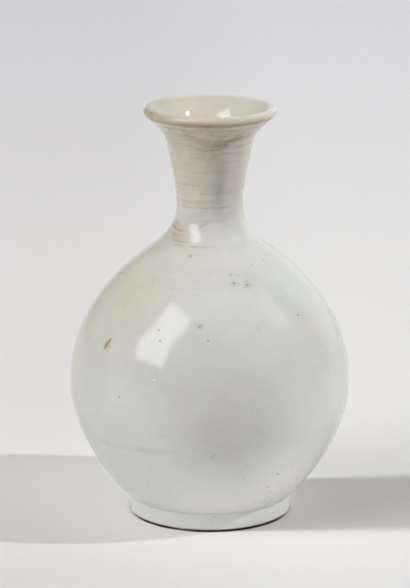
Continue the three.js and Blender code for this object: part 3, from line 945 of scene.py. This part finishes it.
speckTints = {
    "iron": paint(0.27, 0.26, 0.215), "rust": paint(0.49, 0.36, 0.20), "umber": paint(0.28, 0.25, 0.16),
    "olive": paint(0.42, 0.39, 0.26), "slate": paint(0.37, 0.37, 0.33), "faint": paint(0.50, 0.49, 0.44),
    # a near-white spot on the glaze
    "chip": paint(0.98, 0.98, 0.96),
}
roundSpeck = {"stretch": 1.2, "lean": 0}
speckRows = table(  # size is half the width in millimetres; a row without a shape is a roundSpeck
    "azimuth height size tint stretch lean",
    (-51.7, 110.9, 1.35, "rust", 2.7, -18), (-50.4, 114.0, 0.80, "umber", 2.2, -22),
    (-84.5, 142.6, 1.10, "umber", 1.5, 30), (-19.8, 159.0, 0.36, "iron", 3.2, 82),
    (-14.0, 160.0, 0.22, "faint", 3.5, 84), (16.0, 151.0, 0.55, "olive", 1.4, 60),
    (21.4, 150.5, 0.42, "faint", 1.5, 80), (16.6, 147.0, 0.55, "iron", 1.8, 86),
    (25.3, 145.7, 0.65, "iron", 1.3, 70), (-4.9, 127.0, 0.60, "olive", 2.6, -35),
    (-0.9, 120.0, 0.55, "iron"), (2.1, 120.0, 0.28, "faint", 1.3, 0), (-25.0, 124.0, 0.60, "iron"),
    (-23.3, 118.7, 0.62, "iron", 1.3, 80), (50.0, 127.5, 0.68, "iron"),
    (-39.0, 85.5, 0.72, "slate", 1.2, 20), (0.8, 54.0, 0.50, "slate"),
    (1.9, 55.9, 0.30, "slate", 4.2, 86), (-8.7, 48.0, 0.42, "slate", 2.0, 88),
    (16.3, 47.3, 0.44, "slate", 1.3, 80), (33.7, 38.0, 0.68, "iron", 1.3, 70),
    (30.9, 29.4, 0.55, "iron", 1.9, 74), (34.0, 25.0, 0.50, "slate", 1.3, 70),
    (20.7, 48.6, 0.30, "slate"), (34.7, 42.0, 0.36, "slate"), (41.0, 42.0, 0.36, "slate"),
    (16.0, 38.0, 0.36, "slate", 1.4, 80), (20.0, 43.0, 0.26, "faint"), (37.7, 154.0, 0.42, "slate"),
    (54.0, 155.0, 0.50, "slate"), (8.7, 152.4, 0.30, "faint", 1.4, 0), (-25.0, 144.0, 0.40, "faint"),
    (-14.0, 151.0, 0.34, "faint"), (19.7, 62.7, 0.32, "faint", 1.5, 80), (-1.6, 67.4, 0.32, "slate"),
    (34.0, 66.0, 0.36, "faint"), (16.6, 77.7, 0.32, "faint"), (8.0, 87.0, 0.30, "faint", 1.4, 0),
    (31.5, 110.0, 0.24, "faint"), (-64.0, 121.5, 0.45, "faint"), (-40.7, 145.0, 0.40, "faint"),
    (2.8, 6.8, 0.45, "slate", 1.3, 0), (-23.3, 98.2, 0.80, "chip", 1.9, 92),
    (27.7, 17.7, 0.34, "slate", 1.9, 84), (31.9, 14.2, 0.36, "slate", 2.0, 88),
    (33.4, 16.4, 0.30, "slate", 1.8, 80), (34.1, 18.7, 0.36, "slate", 2.1, 86),
    (34.9, 20.8, 0.30, "slate", 1.9, 90), (40.6, 16.9, 0.34, "slate", 1.8, 82),
    (44.2, 16.7, 0.34, "slate", 1.6, 78), (47.0, 17.4, 0.30, "slate", 1.6, 84),
    (25.8, 14.7, 0.30, "faint"), (20.7, 19.0, 0.30, "faint"), (16.5, 23.7, 0.34, "faint"),
    (29.5, 23.7, 0.32, "slate"), (30.9, 26.4, 0.34, "slate"), (118.0, 96.0, 0.60, "iron", 1.3, 40),
    (131.0, 122.0, 0.50, "slate", 1.6, 70), (152.0, 88.0, 0.95, "rust", 2.1, -24),
    (153.2, 90.0, 0.50, "umber", 1.8, -20), (168.0, 131.0, 0.55, "iron"),
    (-172.0, 62.0, 0.50, "slate", 1.3, 60), (-150.0, 110.0, 0.62, "iron", 1.4, 30),
    (-138.0, 146.0, 0.45, "olive", 1.5, 80), (-122.0, 72.0, 0.60, "iron"),
    (-118.0, 40.0, 0.45, "slate", 1.6, 84), (142.0, 30.0, 0.50, "slate", 1.4, 76),
    (176.0, 24.0, 0.36, "slate", 1.8, 84), (104.0, 140.0, 0.45, "olive", 1.3, 0),
)
specks = [dict(roundSpeck, **row) for row in speckRows]
speckLook = {
    "Thickness": 0.05 * mm, "Per area": 260.0, "Apart": 9.0 * mm, "Small": 0.09 * mm, "Large": 0.20 * mm,
    "Seed": 12, "sides": 10, "rings": 5, "roughness": 0.22, "share": 0.81,  # of the sizes above
    "back": (10 * mm, 40 * mm), "atBack": 2.2, "longest": 1.9,  # the strewn ones are larger at the back
}


def speckTree():
    tree, given, result = newTree(
        "ironSpecks",
        (("Specks", "Geometry"), ("Coat", "Object"), ("Thickness", "Float", 0.00005),
         ("Per area", "Float", 800.0), ("Apart", "Float", 0.009), ("Small", "Float", 0.0001),
         ("Large", "Float", 0.0003), ("Seed", "Int", 12), ("Material", "Material")),
        ("Piece", "Geometry"))

    def kept(geometry, name, value, kind="FLOAT"):
        inputs = {"Geometry": geometry, "Name": name, "Value": value}
        made = node(tree, "GeometryNodeStoreNamedAttribute", inputs, data_type=kind, domain="POINT")
        return made.outputs[0]

    def called(name, kind="FLOAT"):
        return node(tree, "GeometryNodeInputNamedAttribute", {"Name": name}, data_type=kind).outputs[0]

    def chance(low, high, seed):
        inputs = {2: low, 3: high, "Seed": calc(tree, "ADD", given["Seed"], seed)}
        return node(tree, "FunctionNodeRandomValue", inputs, data_type="FLOAT").outputs[1]

    coat = node(tree, "GeometryNodeObjectInfo", {"Object": given["Coat"]}).outputs["Geometry"]
    inputs = {0: called("shown"), 1: 0.9}  # 1 where the coat leans out in full, and 0 on its back
    buried = node(tree, "FunctionNodeCompare", inputs, operation="LESS_THAN").outputs[0]
    skin = node(tree, "GeometryNodeDeleteGeometry", {"Geometry": coat, "Selection": buried}).outputs[0]
    inputs = {
        "Mesh": skin, "Distance Min": given["Apart"], "Density Max": given["Per area"], "Seed": given["Seed"],
    }
    strewn = node(tree, "GeometryNodeDistributePointsOnFaces", inputs, distribute_method="POISSON").outputs[0]
    place = node(tree, "GeometryNodeInputPosition").outputs[0]
    larger = fade(tree, axes(tree, place)[1], *speckLook["back"], 1.0, speckLook["atBack"])
    strewn = kept(strewn, "size", times(tree, chance(given["Small"], given["Large"], 1), larger))
    strewn = kept(strewn, "stretch", chance(1.0, speckLook["longest"], 2))
    strewn = kept(strewn, "lean", chance(0.0, pi, 3))
    tint = mixed(tree, chance(0.0, 1.0, 4), speckTints["slate"], speckTints["faint"])
    strewn = kept(strewn, "tint", tint, "FLOAT_COLOR")
    measured = node(tree, "GeometryNodeMeshToPoints", {"Mesh": given["Specks"]}).outputs[0]
    points = node(tree, "GeometryNodeJoinGeometry", {0: measured})
    tree.links.new(strewn, points.inputs[0])
    seat = node(tree, "GeometryNodeProximity", {0: skin, "Sample Position": place}, target_element="FACES")
    inputs = {0: skin, "Value": node(tree, "GeometryNodeInputNormal").outputs[0], "Sample Position": place}
    away = node(tree, "GeometryNodeSampleNearestSurface", inputs, data_type="FLOAT_VECTOR").outputs[0]
    facing = kept(points.outputs[0], "away", away, "FLOAT_VECTOR")
    seated = through(tree, facing, ("SetPosition", {"Position": seat.outputs["Position"]}))
    inputs = {0: called("away", "FLOAT_VECTOR"), 1: (0, 0, 1)}
    upright = node(tree, "FunctionNodeAxesToRotation", inputs, primary_axis="Z", secondary_axis="Y")
    spin = node(tree, "FunctionNodeAxisAngleToRotation", {"Axis": (0, 0, 1), "Angle": called("lean")})
    inputs = {0: upright.outputs[0], 1: spin.outputs[0]}
    leaning = node(tree, "FunctionNodeRotateRotation", inputs, rotation_space="LOCAL").outputs[0]
    long = times(tree, called("size"), called("stretch"))
    size = node(tree, "ShaderNodeCombineXYZ", {0: called("size"), 1: long, 2: given["Thickness"]}).outputs[0]
    inputs = {"Segments": speckLook["sides"], "Rings": speckLook["rings"], "Radius": 1.0}
    bead = node(tree, "GeometryNodeMeshUVSphere", inputs).outputs[0]
    beads = through(
        tree, seated, ("InstanceOnPoints", {"Instance": bead, "Rotation": leaning, "Scale": size}),
        ("SetShadeSmooth", {}), ("RealizeInstances", {}), ("SetMaterial", {"Material": given["Material"]}))
    tree.links.new(beads, result)
    return tree


def speckMaterial():
    material, tree, shader, point = newMaterial("ironInGlaze")
    tint = node(tree, "ShaderNodeAttribute", attribute_name="tint").outputs["Color"]
    feed(tree, shader, {"Base Color": tint, "Roughness": speckLook["roughness"]})
    return material


def ironSpecks(coat):
    mesh = bpy.data.meshes.new("ironSpecks")
    mesh.from_pydata([onPot(speck["azimuth"], speck["height"]) for speck in specks], [], [])
    units = {"size": speckLook["share"] * mm, "stretch": 1.0, "lean": radians(1)}
    for name, unit in units.items():
        held = mesh.attributes.new(name, "FLOAT", "POINT")
        for i, speck in enumerate(specks):
            held.data[i].value = speck[name] * unit
    tint = mesh.attributes.new("tint", "FLOAT_COLOR", "POINT")
    for i, speck in enumerate(specks):
        tint.data[i].color = speckTints[speck["tint"]]
    piece = shaped(newObject("ironSpecks", mesh), speckTree(), dict(speckLook, Coat=coat), speckMaterial())
    hand(piece, None)


ironSpecks(outerPiece)
print("specks ready")


# Stage, light and camera

stageLook = {
    # painted light and shade on the paper: darker towards the back, the left and the front, a painted falloff
    # of light, and dark under the foot, a painted contact shadow
    "reach": 7.0, "near": paint(0.690, 0.668, 0.652), "far": paint(0.632, 0.618, 0.632),
    "paintedFalloffFrom": (0.2, 2.1), "under": 0.7 * mm, "paintedContactShadow": paint(0.070, 0.030, 0.018),
    "unevenScale": 55.0, "uneven": (0.25, 0.55, 0.65),
    "contactShadowFrom": (side.footRadius + 0.8 * mm, side.footRadius - 0.2 * mm), "roughness": 0.9,
    "paintedFalloff": (  # painted shade, the paper darker to the left and to the front: axis, where it begins and is full, and what it multiplies the paper by
        {"axis": 0, "from": 0.10, "to": -0.12, "shade": paint(0.925, 0.915, 0.915)},
        {"axis": 1, "from": -0.07, "to": -0.17, "shade": paint(0.930, 0.935, 0.945)},
    ),
}
roomLook = {  # what the glaze reflects: the room, and the lit papers behind by azimuth, edges and strength
    "dark": 0.30,
    "papers": (
        {"azimuth": 143, "from": 0.890, "to": 0.935, "bright": 0.74},
        {"azimuth": 183, "from": 0.950, "to": 0.985, "bright": 0.36},
    ),
}
cameraLook = {"place": (-0.0028, -1.5476, 0.5307), "pitch": 14.554, "lens": 168.23}
suns = table(  # a far light's place in degrees, its angle across, its power, and what it lights
    "name azimuth elevation across power lights tint",
    ("leftKey", -60, 38, 46, 0.58),
    ("leftTop", -60, 64, 46, 0.33),
    ("leftLow", -70, 14, 46, 0.45),
    ("backLeft", -150, 38, 46, 0.22),
    ("frontLow", 30, 14, 46, 0.31),
    ("backRight", 135, 25, 60, 0.83),
    ("backLow", 180, 14, 46, 0.14),
    ("rightLamp", 81, 39, 1.4, 1.40),
    ("floorGlow", -87, 4, 7, 18, "floor", (0.90, 0.965, 1.0)),
)
pane = {"azimuth": -56, "elevation": 42, "far": 1.6, "gloss": True}  # a window; with gloss, only a highlight
softboxes = (  # place in degrees, metres from the belly, shift aside and up, size, power, what it lights
    dict(pane, name="softbox", far=1.65, size=(0.76, 1.2), power=4.8, gloss=False),
    dict(pane, name="upperPane", shift=(0.110, 0.225), size=(0.62, 0.61), power=5.1),
    dict(pane, name="upperBulge", shift=(0.460, 0.270), size=(0.08, 0.30), power=0.29),
    dict(pane, name="lowerPane", shift=(0.065, -0.340), size=(0.73, 0.52), power=5.3),
    dict(pane, name="lowerBulge", shift=(-0.350, -0.380), size=(0.10, 0.28), power=0.32),
    dict(pane, name="rightShine", azimuth=87, elevation=45, size=(0.42, 0.45), power=0.8),
    dict(pane, name="mouthShine", azimuth=87.5, elevation=58.5, size=(0.17, 0.17), power=2.1,
         lights="innerCoat"),
    dict(pane, name="mouthPane", azimuth=-61, elevation=61, size=(0.62, 0.54), power=4.7,
         lights="innerCoat"),
)
belt = Vector((0, 0, side.bellyHeight))  # every lamp is placed round it
sunAway = 2.0  # metres; only the direction of a far light counts


def makeFloor():
    mesh = bpy.data.meshes.new("floor")
    look = stageLook
    reach, level = look["reach"], -look["under"]
    corners = [(-reach, -reach, level), (reach, -reach, level), (reach, reach, level), (-reach, reach, level)]
    mesh.from_pydata(corners, [], [(0, 1, 2, 3)])
    floor = newObject("floor", mesh)
    material, tree, shader, point = newMaterial("palePaper")
    parts = axes(tree, point)
    # painted falloff of light: darker towards the back, then towards the left and the front
    colour = tinted(tree, look["near"], look["far"], fade(tree, parts[1], *look["paintedFalloffFrom"]))
    for shade in look["paintedFalloff"]:
        share = fade(tree, parts[shade["axis"]], shade["from"], shade["to"])
        colour = mixed(tree, share, colour, shade["shade"], "MULTIPLY")
    # painted contact shadow: the paper painted dark under the foot's edge, strongest in front
    under = fade(tree, flatLength(tree, point), *look["contactShadowFrom"])
    uneven = fade(tree, noiseAt(tree, point, look["unevenScale"], 2.0, seed=1.4), *look["uneven"])
    colour = tinted(tree, colour, look["paintedContactShadow"], under, uneven, inFront(tree, point))
    feed(tree, shader, {"Base Color": colour, "Roughness": look["roughness"], "Specular IOR Level": 0.0})
    mesh.materials.append(material)


def makeRoom():
    world = bpy.data.worlds.new("room")
    bpy.context.scene.world = world
    world.use_nodes = True
    tree = world.node_tree
    plain = tree.nodes["Background"]
    plain.inputs["Strength"].default_value = 0.0
    way = node(tree, "ShaderNodeTexCoord").outputs["Generated"]
    level = vectorCalc(tree, "NORMALIZE", vectorCalc(tree, "MULTIPLY", way, (1, 1, 0)))
    strength = roomLook["dark"]
    for paper in roomLook["papers"]:
        turn = radians(paper["azimuth"])
        facing = vectorCalc(tree, "DOT_PRODUCT", level, (sin(turn), -cos(turn), 0), out=1)
        lit = fade(tree, facing, paper["from"], paper["to"])
        strength = calc(tree, "MULTIPLY_ADD", lit, paper["bright"], strength)
    shine = node(tree, "ShaderNodeBackground", {"Color": paint(1, 1, 1), "Strength": strength})
    gloss = node(tree, "ShaderNodeLightPath").outputs["Is Glossy Ray"]
    both = node(tree, "ShaderNodeMixShader", {0: gloss, 1: plain.outputs[0], 2: shine.outputs[0]})
    tree.links.new(both.outputs[0], tree.nodes["World Output"].inputs["Surface"])


def makeLamp(look, kind):
    data = bpy.data.lights.new(look["name"], kind)
    data.energy = look["power"]
    data.color = look.get("tint", (1, 1, 1))
    if kind == "AREA":
        data.shape = "RECTANGLE"
        data.size, data.size_y = look["size"]
    else:
        data.angle = radians(look["across"])
    lamp = newObject(look["name"], data)
    turn, rise = radians(look["azimuth"]), radians(look["elevation"])
    way = Vector((sin(turn) * cos(rise), -cos(turn) * cos(rise), sin(rise)))
    lamp.rotation_euler = way.to_track_quat("Z", "Y").to_euler()
    aside, above = look.get("shift", (0, 0))
    shift = lamp.rotation_euler.to_matrix() @ Vector((aside, above, 0))
    lamp.location = belt + way * look.get("far", sunAway) + shift
    lamp.visible_glossy = look.get("gloss", False)
    lamp.visible_diffuse = not lamp.visible_glossy
    if "lights" in look:
        lit = bpy.data.collections.new(look["name"] + "Lights")
        lit.objects.link(bpy.data.objects[look["lights"]])
        lamp.light_linking.receiver_collection = lit


def makeCamera():
    data = bpy.data.cameras.new("camera")
    data.lens = cameraLook["lens"]
    camera = newObject("camera", data)
    camera.location = cameraLook["place"]
    camera.rotation_euler = (radians(90 - cameraLook["pitch"]), 0, 0)
    bpy.context.scene.camera = camera


makeFloor()
makeRoom()
for look in suns:
    makeLamp(look, "SUN")
for look in softboxes:
    makeLamp(look, "AREA")
makeCamera()
bpy.context.scene.view_settings.view_transform = "Standard"
print("stage, light and camera ready")
